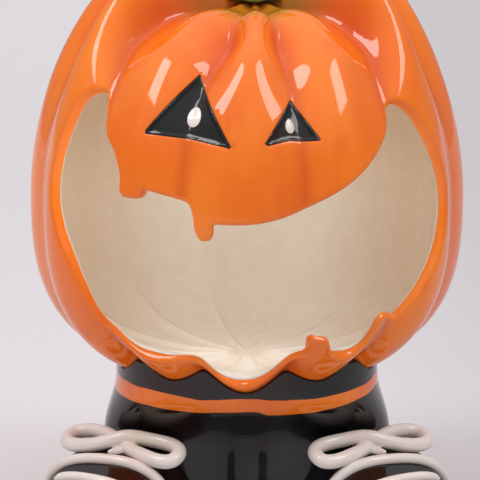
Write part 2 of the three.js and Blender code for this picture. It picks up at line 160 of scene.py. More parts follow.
# Glazes. A noise is (scale, stretch, detail, roughness, seed), and specks are (scale, radius, share, seed).
class Glaze:
    def __init__(self, name, look, start="body"):
        self.look = look
        self.material = bpy.data.materials.new(name)
        self.material.use_nodes = True
        self.nodes, self.links = self.material.node_tree.nodes, self.material.node_tree.links
        self.shader = self.nodes["Principled BSDF"]
        self.coords = self.nodes.new("ShaderNodeTexCoord").outputs["Object"]
        self.colour = look[start]

    # a node whose inputs are sockets or plain values
    def add(self, kind, inputs, **settings):
        node = self.nodes.new(kind)
        for key, value in settings.items():
            setattr(node, key, value)
        for key, value in inputs.items():
            if isinstance(value, bpy.types.NodeSocket):
                self.links.new(value, node.inputs[key])
            else:
                node.inputs[key].default_value = value
        return node

    def noise(self, key):
        scale, stretch, detail, rough, seed = self.look[key]
        place = {"Vector": self.coords, "Scale": stretch, "Location": (seed, seed * 0.7, seed * 1.3)}
        moved = self.add("ShaderNodeMapping", place).outputs[0]
        values = {"Vector": moved, "Scale": scale, "Detail": detail, "Roughness": rough}
        return self.add("ShaderNodeTexNoise", values).outputs["Fac"]

    # a value between two limits becomes a smooth step between two others
    def window(self, value, low, high, toLow=0.0, toHigh=1.0):
        values = {"Value": value, "From Min": low, "From Max": high, "To Min": toLow, "To Max": toHigh}
        return self.add("ShaderNodeMapRange", values, interpolation_type="SMOOTHSTEP").outputs["Result"]

    def math(self, operation, *values):
        return self.add("ShaderNodeMath", dict(enumerate(values)), operation=operation).outputs[0]

    def axis(self, letter):
        return self.add("ShaderNodeSeparateXYZ", {0: self.coords}).outputs[letter]

    def attribute(self, name):
        return self.add("ShaderNodeAttribute", {}, attribute_name=name).outputs["Fac"]

    # sparse round dots: 1 on a dot, 0 elsewhere
    def specks(self):
        scale, radius, share, seed = self.look["specks"]
        moved = self.add("ShaderNodeMapping", {"Vector": self.coords, "Location": (seed,) * 3}).outputs[0]
        cells = self.add("ShaderNodeTexVoronoi", {"Vector": moved, "Scale": scale})
        dot = self.window(cells.outputs["Distance"], radius * 0.6, radius, 1, 0)
        lot = self.add("ShaderNodeSeparateColor", {0: cells.outputs["Color"]}).outputs[0]
        return self.math("MULTIPLY", dot, self.window(lot, 1 - share, 1 - share + 0.01))

    def blend(self, share, first, second, way="MIX"):
        inputs = {0: share}
        for key, colour in ((6, first), (7, second)):
            inputs[key] = colour if isinstance(colour, bpy.types.NodeSocket) else (*colour, 1)
        return self.add("ShaderNodeMix", inputs, data_type="RGBA", blend_type=way).outputs[2]

    def tint(self, share, key):
        self.colour = self.blend(share, self.colour, self.look[key])

    def darken(self, share, key):
        dark = self.blend(1.0, self.colour, self.look[key], "MULTIPLY")
        self.colour = self.blend(share, self.colour, dark)

    # the colour, the roughness that follows the clouds, and the unevenness of the fired surface
    def finish(self, clouds, height):
        if "specks" in self.look:
            self.tint(self.specks(), "speck")
        self.links.new(self.colour, self.shader.inputs["Base Color"])
        self.links.new(self.window(clouds, 0.3, 0.7, *self.look["rough"]), self.shader.inputs["Roughness"])
        self.shader.inputs["IOR"].default_value = self.look["glassiness"]
        strength, distance = self.look["unevenness"]
        lift = self.add("ShaderNodeBump", {"Height": height, "Strength": strength, "Distance": distance})
        self.links.new(lift.outputs[0], self.shader.inputs["Normal"])
        return self.material


orangeLook = {
    "body": (0.90, 0.165, 0.006),
    "light": (0.98, 0.225, 0.012),
    "deep": (0.80, 0.11, 0.004),
    # the groove colour is painted shade for the grooves between the lobes
    "groove": (0.62, 0.065, 0.003),
    "crown": (0.20, 0.20, 0.02),
    "speck": (0.22, 0.05, 0.01),
    "clouds": (14, (1, 1, 0.6), 4, 0.55, 3),
    "streaks": (60, (1, 1, 0.07), 3, 0.5, 7),
    "fineStreaks": (170, (1, 1, 0.05), 2, 0.5, 1),
    "specks": (90, 0.06, 0.05, 2),
    "bumps": (22, (1, 1, 0.5), 2, 0.5, 5),
    "rough": (0.05, 0.09),
    "glassiness": 1.52,
    "unevenness": (0.25, 0.0012),
}


def orangeGlaze():
    glaze = Glaze("orangeGlaze", orangeLook)
    clouds = glaze.noise("clouds")
    glaze.tint(glaze.window(clouds, 0.38, 0.68), "light")
    glaze.tint(glaze.window(glaze.noise("streaks"), 0.5, 0.8, 0, 0.55), "deep")
    glaze.tint(glaze.window(glaze.noise("fineStreaks"), 0.5, 0.8, 0, 0.3), "light")
    # Painted shade: the glaze is painted darker along the grooves between the lobes, as far as the groove
    # attribute reaches.
    glaze.tint(glaze.window(glaze.attribute("groove"), 0.1, 1, 0, 0.75), "groove")
    patchy = glaze.window(clouds, 0.3, 0.6, 0.35, 1)
    glaze.tint(glaze.math("MULTIPLY", glaze.attribute("crown"), patchy), "crown")
    return glaze.finish(clouds, glaze.noise("bumps"))


creamLook = {
    "body": (0.86, 0.80, 0.705),
    "light": (0.92, 0.875, 0.80),
    "deep": (0.82, 0.745, 0.645),
    # painted shade and orange bounce light for the sides and top of the bowl
    "bowlShade": (0.80, 0.70, 0.60),
    "speck": (0.45, 0.33, 0.2),
    "clouds": (16, (1, 1, 1), 5, 0.6, 4),
    "mottle": (130, (1, 1, 1), 3, 0.6, 9),
    "shadeAside": (0.03, 0.095),
    "shadeAbove": (0.165, 0.245),
    "specks": (120, 0.07, 0.06, 5),
    "bumps": (30, (1, 1, 0.6), 2, 0.5, 6),
    "rough": (0.06, 0.12),
    "glassiness": 1.5,
    "unevenness": (0.4, 0.002),
}


# Painted shade: the cream glaze is painted darker and warmer on the sides and under the crown, where the bowl
# lies in shade and takes orange light from its walls.
def creamGlaze():
    glaze = Glaze("creamGlaze", creamLook, "deep")
    clouds = glaze.noise("clouds")
    glaze.tint(glaze.window(clouds, 0.35, 0.65, 0.35, 1), "body")
    glaze.tint(glaze.window(glaze.noise("mottle"), 0.42, 0.7, 0, 0.35), "light")
    aside = glaze.math("ABSOLUTE", glaze.axis("X"))
    glaze.darken(glaze.window(aside, *creamLook["shadeAside"]), "bowlShade")
    glaze.darken(glaze.window(glaze.axis("Z"), *creamLook["shadeAbove"]), "bowlShade")
    return glaze.finish(clouds, glaze.noise("bumps"))


blackLook = {
    "body": (0.006, 0.006, 0.0065),
    "brown": (0.022, 0.006, 0.004),
    "grey": (0.016, 0.015, 0.017),
    "speck": (0.2, 0.19, 0.18),
    "clouds": (22, (1, 1, 1), 4, 0.55, 2),
    "washes": (9, (1, 1, 0.8), 3, 0.6, 8),
    "specks": (160, 0.06, 0.05, 1),
    "bumps": (26, (1, 1, 1), 2, 0.5, 3),
    "rough": (0.04, 0.09),
    "glassiness": 1.46,
    "unevenness": (0.35, 0.0015),
}


def blackGlaze():
    glaze = Glaze("blackGlaze", blackLook)
    clouds = glaze.noise("clouds")
    glaze.tint(glaze.window(clouds, 0.45, 0.75, 0, 0.8), "grey")
    glaze.tint(glaze.window(glaze.noise("washes"), 0.46, 0.66, 0, 0.9), "brown")
    return glaze.finish(clouds, glaze.noise("bumps"))


whiteLook = {
    "body": (0.83, 0.76, 0.71),
    "pink": (0.80, 0.66, 0.60),
    "cream": (0.78, 0.70, 0.56),
    "speck": (0.4, 0.3, 0.25),
    "clouds": (45, (1, 1, 1), 4, 0.55, 2),
    "patches": (28, (1, 1, 1), 3, 0.6, 6),
    "specks": (200, 0.08, 0.05, 4),
    "bumps": (80, (1, 1, 1), 2, 0.5, 3),
    "rough": (0.1, 0.18),
    "glassiness": 1.5,
    "unevenness": (0.3, 0.0006),
}


def whiteGlaze():
    glaze = Glaze("whiteGlaze", whiteLook)
    clouds = glaze.noise("clouds")
    glaze.tint(glaze.window(clouds, 0.42, 0.68, 0, 0.8), "pink")
    glaze.tint(glaze.window(glaze.noise("patches"), 0.55, 0.75, 0, 0.8), "cream")
    return glaze.finish(clouds, glaze.noise("bumps"))


greenLook = {
    "body": (0.11, 0.26, 0.035),
    "light": (0.22, 0.38, 0.08),
    # the deep colour is painted shade for the hollows between the stem's ribs
    "deep": (0.04, 0.10, 0.014),
    "brown": (0.24, 0.17, 0.05),
    "streaks": (110, (1, 1, 0.12), 4, 0.6, 2),
    "clouds": (40, (1, 1, 0.6), 3, 0.5, 5),
    "rough": (0.08, 0.16),
    "glassiness": 1.5,
    "unevenness": (0.35, 0.001),
}


def greenGlaze():
    glaze = Glaze("greenGlaze", greenLook)
    streaks, clouds = glaze.noise("streaks"), glaze.noise("clouds")
    glaze.tint(glaze.window(streaks, 0.35, 0.7), "light")
    glaze.tint(glaze.window(clouds, 0.5, 0.75, 0, 0.5), "brown")
    # Painted shade: the green glaze is painted deeper in the hollows between the ribs.
    glaze.tint(glaze.window(glaze.attribute("groove"), 0.1, 1, 0, 0.85), "deep")
    return glaze.finish(clouds, streaks)


floorLook = {
    "body": (0.775, 0.745, 0.765),
    "far": (0.97, 0.945, 0.965),
    "shade": (0.82, 0.82, 0.82),
    "soft": (0.98, 0.98, 0.98),
    "softness": (9, (1, 1, 1), 2, 0.5, 1),
    "depthRange": (0.1, 2.6),
    "sideRange": (-0.05, 0.26),
}


# Painted light: the floor is painted paler with distance, where the lamps' light falls off, and a painted
# shadow darkens it to the right.
def floorPaint():
    glaze = Glaze("floorPaint", floorLook)
    glaze.tint(glaze.window(glaze.axis("Y"), *floorLook["depthRange"]), "far")
    glaze.darken(glaze.window(glaze.axis("X"), *floorLook["sideRange"]), "shade")
    glaze.darken(glaze.noise("softness"), "soft")
    glaze.links.new(glaze.colour, glaze.shader.inputs["Base Color"])
    glaze.shader.inputs["Roughness"].default_value = 0.6
    glaze.shader.inputs["Specular IOR Level"].default_value = 0.2
    return glaze.material


orange, cream, black, white, green = orangeGlaze(), creamGlaze(), blackGlaze(), whiteGlaze(), greenGlaze()


# Every piece is still: it rides on the one body and stands for its CAD nodes.
def finishPiece(piece, material, slotName, *nodes):
    piece.data.materials.clear()
    piece.data.materials.append(material)
    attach(piece, "root")
    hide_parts(*nodes)


def addFloor():
    bpy.ops.object.select_all(action="DESELECT")
    bpy.ops.mesh.primitive_plane_add(size=12, location=(0, 0, 0))
    floor = bpy.context.object
    floor.name = "floor"
    bpy.ops.object.mode_set(mode="EDIT")
    bpy.ops.mesh.select_all(action="SELECT")
    bpy.ops.mesh.subdivide(number_cuts=3)
    bpy.ops.object.mode_set(mode="OBJECT")
    floor.data.materials.append(floorPaint())


addFloor()
print("camera, light and floor are set")


# Mesh helpers


def storeAttributes(mesh, attributes):
    for key, values in attributes.items():
        layer = mesh.attributes.new(key, "FLOAT", "POINT")
        layer.data.foreach_set("value", np.asarray(values, np.float32))


# Merges open seams, turns the faces outwards and shades the piece smooth.
def closeUp(piece):
    bpy.ops.object.select_all(action="DESELECT")
    bpy.context.view_layer.objects.active = piece
    piece.select_set(True)
    bpy.ops.object.mode_set(mode="EDIT")
    bpy.ops.mesh.select_all(action="SELECT")
    bpy.ops.mesh.remove_doubles(threshold=0.000002)
    bpy.ops.mesh.normals_make_consistent(inside=False)
    bpy.ops.object.mode_set(mode="OBJECT")
    bpy.ops.object.shade_smooth()
    return piece


# A piece from points in millimetres and faces
def meshPiece(name, points, faces, **attributes):
    mesh = bpy.data.meshes.new(name)
    mesh.from_pydata((np.asarray(points) * millimetre).tolist(), [], faces)
    piece = bpy.data.objects.new(name, mesh)
    scene.collection.objects.link(piece)
    storeAttributes(mesh, attributes)
    return closeUp(piece)


# A ball whose points are put in place by a function of azimuth and elevation
def mouldPiece(name, columns, rows, place, attributes=None):
    bpy.ops.object.select_all(action="DESELECT")
    bpy.ops.mesh.primitive_uv_sphere_add(segments=columns, ring_count=rows, radius=1)
    piece = bpy.context.object
    piece.name = name
    mesh = piece.data
    unit = np.zeros(len(mesh.vertices) * 3)
    mesh.vertices.foreach_get("co", unit)
    unit = unit.reshape(-1, 3)
    azimuth = np.degrees(np.arctan2(unit[:, 0], -unit[:, 1]))
    elevation = np.degrees(np.arcsin(np.clip(unit[:, 2], -1, 1)))
    mesh.vertices.foreach_set("co", (place(azimuth, elevation) * millimetre).ravel())
    if attributes:
        storeAttributes(mesh, attributes(azimuth, elevation))
    mesh.update()
    return closeUp(piece)


# The pumpkin's shape

head = {
    "centreHeight": 186,
    "radius": 118.6,
    "depthRatio": 0.95,
    "lowerHeight": 101,
    "lowerPower": 2.75,
    "upperPower": 1.9,
    "sideHeight": 161,
    "faceHeight": 129,
    "crownHeight": 108,
    "faceDip": 7,
    "crownShift": 4,
    "chinDrop": 4,
    "groove": 0.045,
    "grooveTop": 0.1,
    "grooveBottom": 0.06,
    "wall": 5.7,
    "lining": 1.3,
    "pool": 5,
    "ridgeStart": 3,
    "faceSeams": (-75, -46, -17.5, 15.5, 45.5, 75),
    "faceSeamTops": (-75, -54, -10.5, 14, 54, 75),
    "seams": (-194.5, -165, -135, -105, -75, -46, -17.5, 15.5, 45.5, 75, 105, 135, 165.5, 195),
}
seams = np.array(head["seams"])


# -1 and 1 at a lobe's seams, 0 on its crest.
def acrossLobe(azimuth):
    lobe = np.clip(np.searchsorted(seams, azimuth, side="left") - 1, 0, len(seams) - 2)
    return 2 * (azimuth - seams[lobe]) / (seams[lobe + 1] - seams[lobe]) - 1


# The seams beside and on the face lean as they rise, so each place is read at its seam's lower azimuth.
def lobeAzimuth(azimuth, elevation):
    share = smoothStep(28, 56, elevation)
    result = azimuth + 0 * share
    lows, tops = head["faceSeams"], head["faceSeamTops"]
    for k in range(len(lows) - 1):
        start, end = mix(lows[k], tops[k], share), mix(lows[k + 1], tops[k + 1], share)
        part = (azimuth - start) / (end - start)
        result = np.where((part >= 0) & (part < 1), mix(lows[k], lows[k + 1], part), result)
    return result


def faceShare(azimuth):
    return 1 - smoothStep(36, 56, np.abs(azimuth))


def grooveDepth(azimuth, elevation, base):
    azimuth = lobeAzimuth(azimuth, elevation)
    share = (
        head["groove"]
        + head["grooveTop"] * smoothStep(20, 65, elevation)
        + head["grooveBottom"] * smoothStep(20, 65, -elevation)
    ) * (1 - 0.8 * (1 - smoothStep(26, 42, np.abs(azimuth))) * smoothStep(52, 72, elevation))
    bow = np.cos(np.pi * acrossLobe(azimuth) / 2)
    fade = 1 - smoothStep(80, 90, np.abs(elevation))
    return base * share * fade * (1 - np.sqrt(mix(0.026, 1, bow * bow)))


# Distance from the head's centre to its surface, before the grooves are pressed in.
def headBase(azimuth, elevation):
    across = np.cos(np.radians(elevation))
    up = np.sin(np.radians(elevation))
    face = faceShare(lobeAzimuth(azimuth, elevation))
    power = head["lowerPower"]
    below = np.maximum(-up, 0)
    lower = ((across / head["radius"]) ** power + (below / head["lowerHeight"]) ** power) ** (-1 / power)
    underMouth = np.exp(-((azimuth / 22) ** 2)) * smoothStep(20, 50, -elevation)
    lower += head["chinDrop"] * underMouth * smoothStep(0, 20, 90 + elevation)
    height = mix(head["sideHeight"], head["faceHeight"], face)
    power = head["upperPower"]
    above = np.maximum(up, 0)
    upper = ((across / head["radius"]) ** power + (above / height) ** power) ** (-1 / power)
    upper -= (height - head["crownHeight"]) * smoothStep(58, 90, elevation)
    upper -= head["faceDip"] * face * smoothStep(44, 62, elevation) * (1 - smoothStep(74, 90, elevation))
    return np.where(elevation < 0, lower, upper)


def headRadius(azimuth, elevation, depth):
    base = headBase(azimuth, elevation)
    groove = grooveDepth(azimuth, elevation, base)
    softer = groove * groove / (groove + 4)
    inside = smoothStep(2.9, 3.1, depth)
    return base - mix(groove, softer, inside) - depth


def headPlace(azimuth, elevation, radius):
    level = radius * np.cos(np.radians(elevation))
    x = level * np.sin(np.radians(azimuth)) + head["crownShift"] * smoothStep(30, 85, elevation)
    y = -level * np.cos(np.radians(azimuth)) * head["depthRatio"]
    z = radius * np.sin(np.radians(elevation)) + head["centreHeight"]
    return np.stack([x, y, z], -1)


def headPoint(azimuth, elevation, depth):
    azimuth, elevation = np.asarray(azimuth, float), np.asarray(elevation, float)
    depth = np.asarray(depth, float) + 0 * azimuth
    return headPlace(azimuth, elevation, headRadius(azimuth, elevation, depth))


# The inside of the cream coat, which pools in the bowl and leaves only the deep grooves as soft ridges.
def liningPoint(azimuth, elevation):
    base = headBase(azimuth, elevation)
    pool = head["pool"] * smoothStep(15, 70, -elevation)
    deep = grooveDepth(azimuth, elevation, base) - head["ridgeStart"] - pool
    ridge = 0.5 * (deep + np.sqrt(deep * deep + 4))
    return headPlace(azimuth, elevation, base - ridge - head["wall"] - head["lining"] - pool)


def headNormal(azimuth, elevation, depth):
    small = 0.05
    right = headPoint(azimuth + small, elevation, depth) - headPoint(azimuth - small, elevation, depth)
    upward = headPoint(azimuth, elevation + small, depth) - headPoint(azimuth, elevation - small, depth)
    normal = np.cross(right, upward)
    return normal / np.linalg.norm(normal, axis=-1, keepdims=True)


# Outlines on the head, as azimuth and elevation

mouthOutline = {
    "left": [
        (-49, 34.5), (-53, 32.5), (-56.5, 28.5), (-60, 20), (-62, 12), (-62, 4), (-59, -4),
        (-54.5, -11), (-51, -19), (-48.5, -27), (-45, -33), (-37, -36.5), (-28, -38), (-20.5, -39),
        (-16, -43), (-11, -47), (-2, -48.5), (6, -45.5), (12, -41), (19, -36),
    ],
    "toothLowerLeft": [(18, -30), (24, -30.5)],
    "bottom": [(27, -36), (34, -37), (39, -34.5), (40.5, -29)],
    "toothLowerRight": [(40.5, -26.5), (43.5, -25.5)],
    "right": [
        (48, -27.5), (53.5, -20.5), (58.5, -14), (62, -8), (64.5, 0), (64, 8), (61, 16),
        (57.5, 22), (54, 27), (49.5, 31), (46.5, 30.5),
    ],
    "lipRight": [(45.5, 27), (43.5, 23.5), (37.5, 18), (27, 11), (13.5, 5), (7, 3), (0, 2), (-9, 2)],
    "toothLong": [(-9, -1), (-10.5, -2.7), (-12.5, -2.5), (-14, 0)],
    "lipMiddle": [(-14.5, 3.5), (-15.5, 6.5), (-18, 8), (-27.5, 10)],
    "toothShort": [(-29, 7.5), (-34, 7.5), (-35.3, 9)],
    "lipLeft": [(-35.5, 13), (-39, 18.5), (-44, 23), (-46.5, 28.5)],
}
eyeOutlines = {
    "left": [(-17.5, 43), (-30, 24), (-17, 24), (-4, 21)],
    "right": [(14, 35.5), (4, 21.5), (12, 23.5), (21, 23)],
}
eyes = {"dishEdge": 0.3, "dishMiddle": 1.1, "floor": 1.6, "edgeRadius": 0.45, "sideGap": 0.05}
pupils = {
    "left": {"azimuth": -16.3, "elevation": 30.3, "across": 2.2, "up": 3.0, "height": 0.75},
    "right": {"azimuth": 12.5, "elevation": 27.6, "across": 1.35, "up": 2.0, "height": 0.6},
}
rim = {"radius": 2.0, "crown": 0.35, "arcSteps": 6, "wallShares": (0.35, 0.7), "liningSteps": 4}
degree = 2.07  # millimetres of the head's surface in one degree


# Even points along a Catmull-Rom curve.
def smoothCurve(points, count):
    points = np.array(points, float)
    last = len(points) - 1
    found = []
    for k in range(count + 1):
        along = k / count * last
        i = min(int(along), last - 1)
        t = along - i
        before, here = points[max(i - 1, 0)], points[i]
        ahead, after = points[i + 1], points[min(i + 2, last)]
        leave, arrive = (ahead - before) / 2, (after - here) / 2
        found.append(
            (2 * here - 2 * ahead + leave + arrive) * t**3
            + (-3 * here + 3 * ahead - 2 * leave - arrive) * t**2
            + leave * t
            + here
        )
    return found


# A closed outline with points every step degrees.
def evenPoints(outline, step):
    outline = np.array(outline, float)
    closed = np.vstack([outline, outline[:1]])
    lengths = np.hypot(*np.diff(closed, axis=0).T)
    travelled = np.concatenate([[0], np.cumsum(lengths)])
    count = max(8, int(round(travelled[-1] / step)))
    marks = np.linspace(0, travelled[-1], count, endpoint=False)
    return np.stack([np.interp(marks, travelled, closed[:, axis]) for axis in (0, 1)], -1)


# Corners are rounded by averaging each point with its neighbours.
def softCorners(outline, step, rounds):
    outline = evenPoints(outline, step)
    for _ in range(rounds):
        outline = (np.roll(outline, 1, 0) + 2 * outline + np.roll(outline, -1, 0)) / 4
    return outline


def mouthCurve():
    parts = mouthOutline
    outline = smoothCurve(parts["left"], 120) + parts["toothLowerLeft"] + smoothCurve(parts["bottom"], 24)
    outline += parts["toothLowerRight"] + smoothCurve(parts["right"], 70) + smoothCurve(parts["lipRight"], 60)
    outline += smoothCurve(parts["toothLong"], 12) + smoothCurve(parts["lipMiddle"], 24)
    outline += parts["toothShort"] + smoothCurve(parts["lipLeft"], 30)
    return softCorners(outline, 0.25, 9)[::2]


# A function that gives the distance from an outline in millimetres, positive where sign says: 1 for
# outside the outline, -1 for inside it.
def outlineField(outline, sign):
    starts, ends = outline, np.roll(outline, -1, 0)

    def field(points):
        points = np.asarray(points, float)
        result = np.full(len(points), 99.0)
        low, high = outline.min(0) - 6, outline.max(0) + 6
        near = np.where(((points > low) & (points < high)).all(1))[0]
        for chunk in np.array_split(near, max(1, len(near) // 1500)):
            if not len(chunk):
                continue
            some = points[chunk]
            scale = np.stack([degree * np.cos(np.radians(some[:, 1])), np.full(len(some), degree)], -1)
            a = (starts[None] - some[:, None]) * scale[:, None]
            b = (ends[None] - some[:, None]) * scale[:, None]
            side = b - a
            share = np.clip(-(a * side).sum(-1) / np.maximum((side * side).sum(-1), 1e-12), 0, 1)
            distance = np.sqrt((((a + side * share[..., None])) ** 2).sum(-1)).min(1)
            px, py = some[:, :1], some[:, 1:]
            crossing = (starts[None, :, 1] > py) != (ends[None, :, 1] > py)
            rise = ends[None, :, 1] - starts[None, :, 1]
            reach = starts[None, :, 0] + (py - starts[None, :, 1]) / np.where(rise == 0, 1, rise) * (
                ends[None, :, 0] - starts[None, :, 0]
            )
            inside = (crossing & (px < reach)).sum(1) % 2 == 1
            result[chunk] = np.where(inside, -distance, distance)
        return result * sign

    return field


# The field's slope per degree of azimuth and elevation.
def fieldSlope(field, points):
    small = 0.02
    shiftAcross, shiftUp = np.array([small, 0]), np.array([0, small])
    return np.stack(
        [
            (field(points + shiftAcross) - field(points - shiftAcross)) / (2 * small),
            (field(points + shiftUp) - field(points - shiftUp)) / (2 * small),
        ],
        -1,
    )


# Points moved along the slope until the field has this level there.
def pullTo(field, level, points, rounds=3):
    points = np.array(points, float)
    for _ in range(rounds):
        slope = fieldSlope(field, points)
        size = np.maximum((slope**2).sum(-1), 0.5)
        points -= slope * ((field(points) - level) / size)[:, None]
    return points


# A grid of azimuths and elevations, cut back to where every field is above its level. Gives its points,
# its faces, and for each cut the closed chains of points along it.
def cutSheet(columns, rows, cuts, parts):
    wide, high = len(columns), len(rows)
    points = np.stack(np.meshgrid(columns, rows, indexing="ij"), -1).reshape(-1, 2)
    index = np.arange(wide * high).reshape(wide, high)
    sign = np.ones(wide * high, int)
    owner = np.full(wide * high, -1)
    for number, (field, level) in enumerate(cuts):
        value = field(points) - level
        pairs = np.vstack(
            [
                np.stack([index[:-1].ravel(), index[1:].ravel()], -1),
                np.stack([index[:, :-1].ravel(), index[:, 1:].ravel()], -1),
            ]
        )
        crossing = pairs[value[pairs[:, 0]] * value[pairs[:, 1]] < 0]
        size = np.abs(value[crossing])
        nearer = np.where(size[:, 0] < size[:, 1], crossing[:, 0], crossing[:, 1])
        nearer = np.unique(nearer)
        points[nearer] = pullTo(field, level, points[nearer])
        sign[value < 0] = -1
        sign[nearer] = 0
        owner[nearer] = number
    quads = np.stack([index[:-1, :-1], index[1:, :-1], index[1:, 1:], index[:-1, 1:]], -1).reshape(-1, 4)
    signs = sign[quads]
    faces = quads[(signs >= 0).all(1) & (signs > 0).any(1)].tolist()
    mixed = (signs < 0).any(1) & (signs > 0).any(1)
    for quad, marks in zip(quads[mixed], signs[mixed]):
        kept = [int(corner) for corner, mark in zip(quad, marks) if mark >= 0]
        if len(kept) == 3:
            faces.append(kept)
    edge = quads[(signs == 0).all(1)]
    for quad in edge:
        middle = points[quad].mean(0)[None]
        if all(field(middle)[0] > level for field, level in cuts):
            faces.append([int(corner) for corner in quad])
    # chains of edges that belong to one face only, and lie on a cut
    onCut = owner >= 0
    seen = {}
    for number, face in enumerate(faces):
        for first, second in zip(face, face[1:] + face[:1]):
            if onCut[first] and onCut[second]:
                key = (min(first, second), max(first, second))
                seen.setdefault(key, []).append((first, second, number))
    border = [uses[0] for uses in seen.values() if len(uses) == 1]
    following = {}
    for first, second, number in border:
        following.setdefault(first, []).append((second, number))
    # each border edge gets points between its ends, on the cut itself
    extra, fresh = [], {}
    total = len(points)
    for first, second, number in border:
        share = np.arange(1, parts) / parts
        between = points[first] + (points[second] - points[first]) * share[:, None]
        fresh[(first, second)] = list(range(total, total + parts - 1))
        extra.append((owner[first], between))
        total += parts - 1
    if extra:
        owners = np.repeat([number for number, _ in extra], parts - 1)
        between = np.vstack([some for _, some in extra])
        for number, (field, level) in enumerate(cuts):
            mine = owners == number
            if mine.any():
                between[mine] = pullTo(field, level, between[mine])
        points = np.vstack([points, between])
        owner = np.concatenate([owner, owners])
    for first, second, number in border:
        face = faces[number]
        at = face.index(first) + 1
        face[at:at] = fresh[(first, second)]
    loops = {number: [] for number in range(len(cuts))}
    left = {(first, second) for first, second, _ in border}
    while left:
        start = first = next(iter(left))[0]
        chain = []
        while True:
            options = [second for second, _ in following[first] if (first, second) in left]
            if not options:
                break
            second = options[0]
            left.discard((first, second))
            chain.append(first)
            chain.extend(fresh[(first, second)])
            first = second
            if first == start:
                break
        if len(chain) > 20:
            loops[int(owner[chain[0]])].append(chain)
    return points, faces, loops


# Only the points that faces use, renumbered.
def tightened(points, faces, *chains):
    used = sorted({corner for face in faces for corner in face})
    number = {old: new for new, old in enumerate(used)}
    return (
        points[used],
        [[number[corner] for corner in face] for face in faces],
        [[number[corner] for corner in chain] for chain in chains],
    )


# The same faces seen from the other side, on points further on in the list
def turned(faces, base):
    return [[corner + base for corner in face[::-1]] for face in faces]


def bothSides(faces, base):
    return [list(face) for face in faces] + turned(faces, base)


# Faces between two rings with the same count
def bridge(first, second):
    count = len(first)
    return [
        [first[k], first[(k + 1) % count], second[(k + 1) % count], second[k]] for k in range(count)
    ]


headGrid = {"faceCells": 28, "backCells": 14, "lowRows": 18, "mouthStep": 1.0, "topRows": 22, "edgeParts": 3}


def headColumns():
    columns = []
    for low, high in zip(seams[1:-1], seams[2:]):
        cells = headGrid["faceCells"] if high > -76 and low < 76 else headGrid["backCells"]
        step = np.arange(cells) / cells * 2 - 1
        bent = 0.6 * step + 0.4 * np.sin(np.pi * step / 2)
        columns.extend(low + (high - low) * (bent + 1) / 2)
    return np.array(columns + [columns[0] + 360])


def headRows():
    return np.concatenate(
        [
            np.linspace(-90, -54, headGrid["lowRows"], endpoint=False),
            np.arange(-54, 48, headGrid["mouthStep"]),
            np.linspace(48, 90, headGrid["topRows"]),
        ]
    )


mouthEdge = mouthCurve()
mouthField = outlineField(mouthEdge, 1)
eyeEdges = {side: softCorners(evenPoints(outline, 0.25), 0.25, 3) for side, outline in eyeOutlines.items()}


# Unit directions along the surface, straight into the opening, smoothed along the rim.
def towardsOpening(field, azimuthElevation, depth, normal):
    slope = fieldSlope(field, azimuthElevation)
    metric = np.stack([np.cos(np.radians(azimuthElevation[:, 1])) ** 2, np.ones(len(slope))], -1)
    step = -slope / metric
    step *= 0.2 / np.linalg.norm(step, axis=-1, keepdims=True)
    here = headPoint(*azimuthElevation.T, depth)
    there = headPoint(*(azimuthElevation + step).T, depth)
    way = there - here
    way /= np.linalg.norm(way, axis=-1, keepdims=True)
    for _ in range(4):
        way = (np.roll(way, 1, 0) + 2 * way + np.roll(way, -1, 0)) / 4
    way -= normal * (way * normal).sum(-1, keepdims=True)
    return way / np.linalg.norm(way, axis=-1, keepdims=True)


mouthSheet = cutSheet(headColumns(), headRows(), [(mouthField, rim["radius"])], headGrid["edgeParts"])


# Points round an edge that turns from the surface into its opening
def rounded(top, way, normal, radius, turn):
    return top + way * radius * math.sin(turn) - normal * radius * (1 - math.cos(turn))


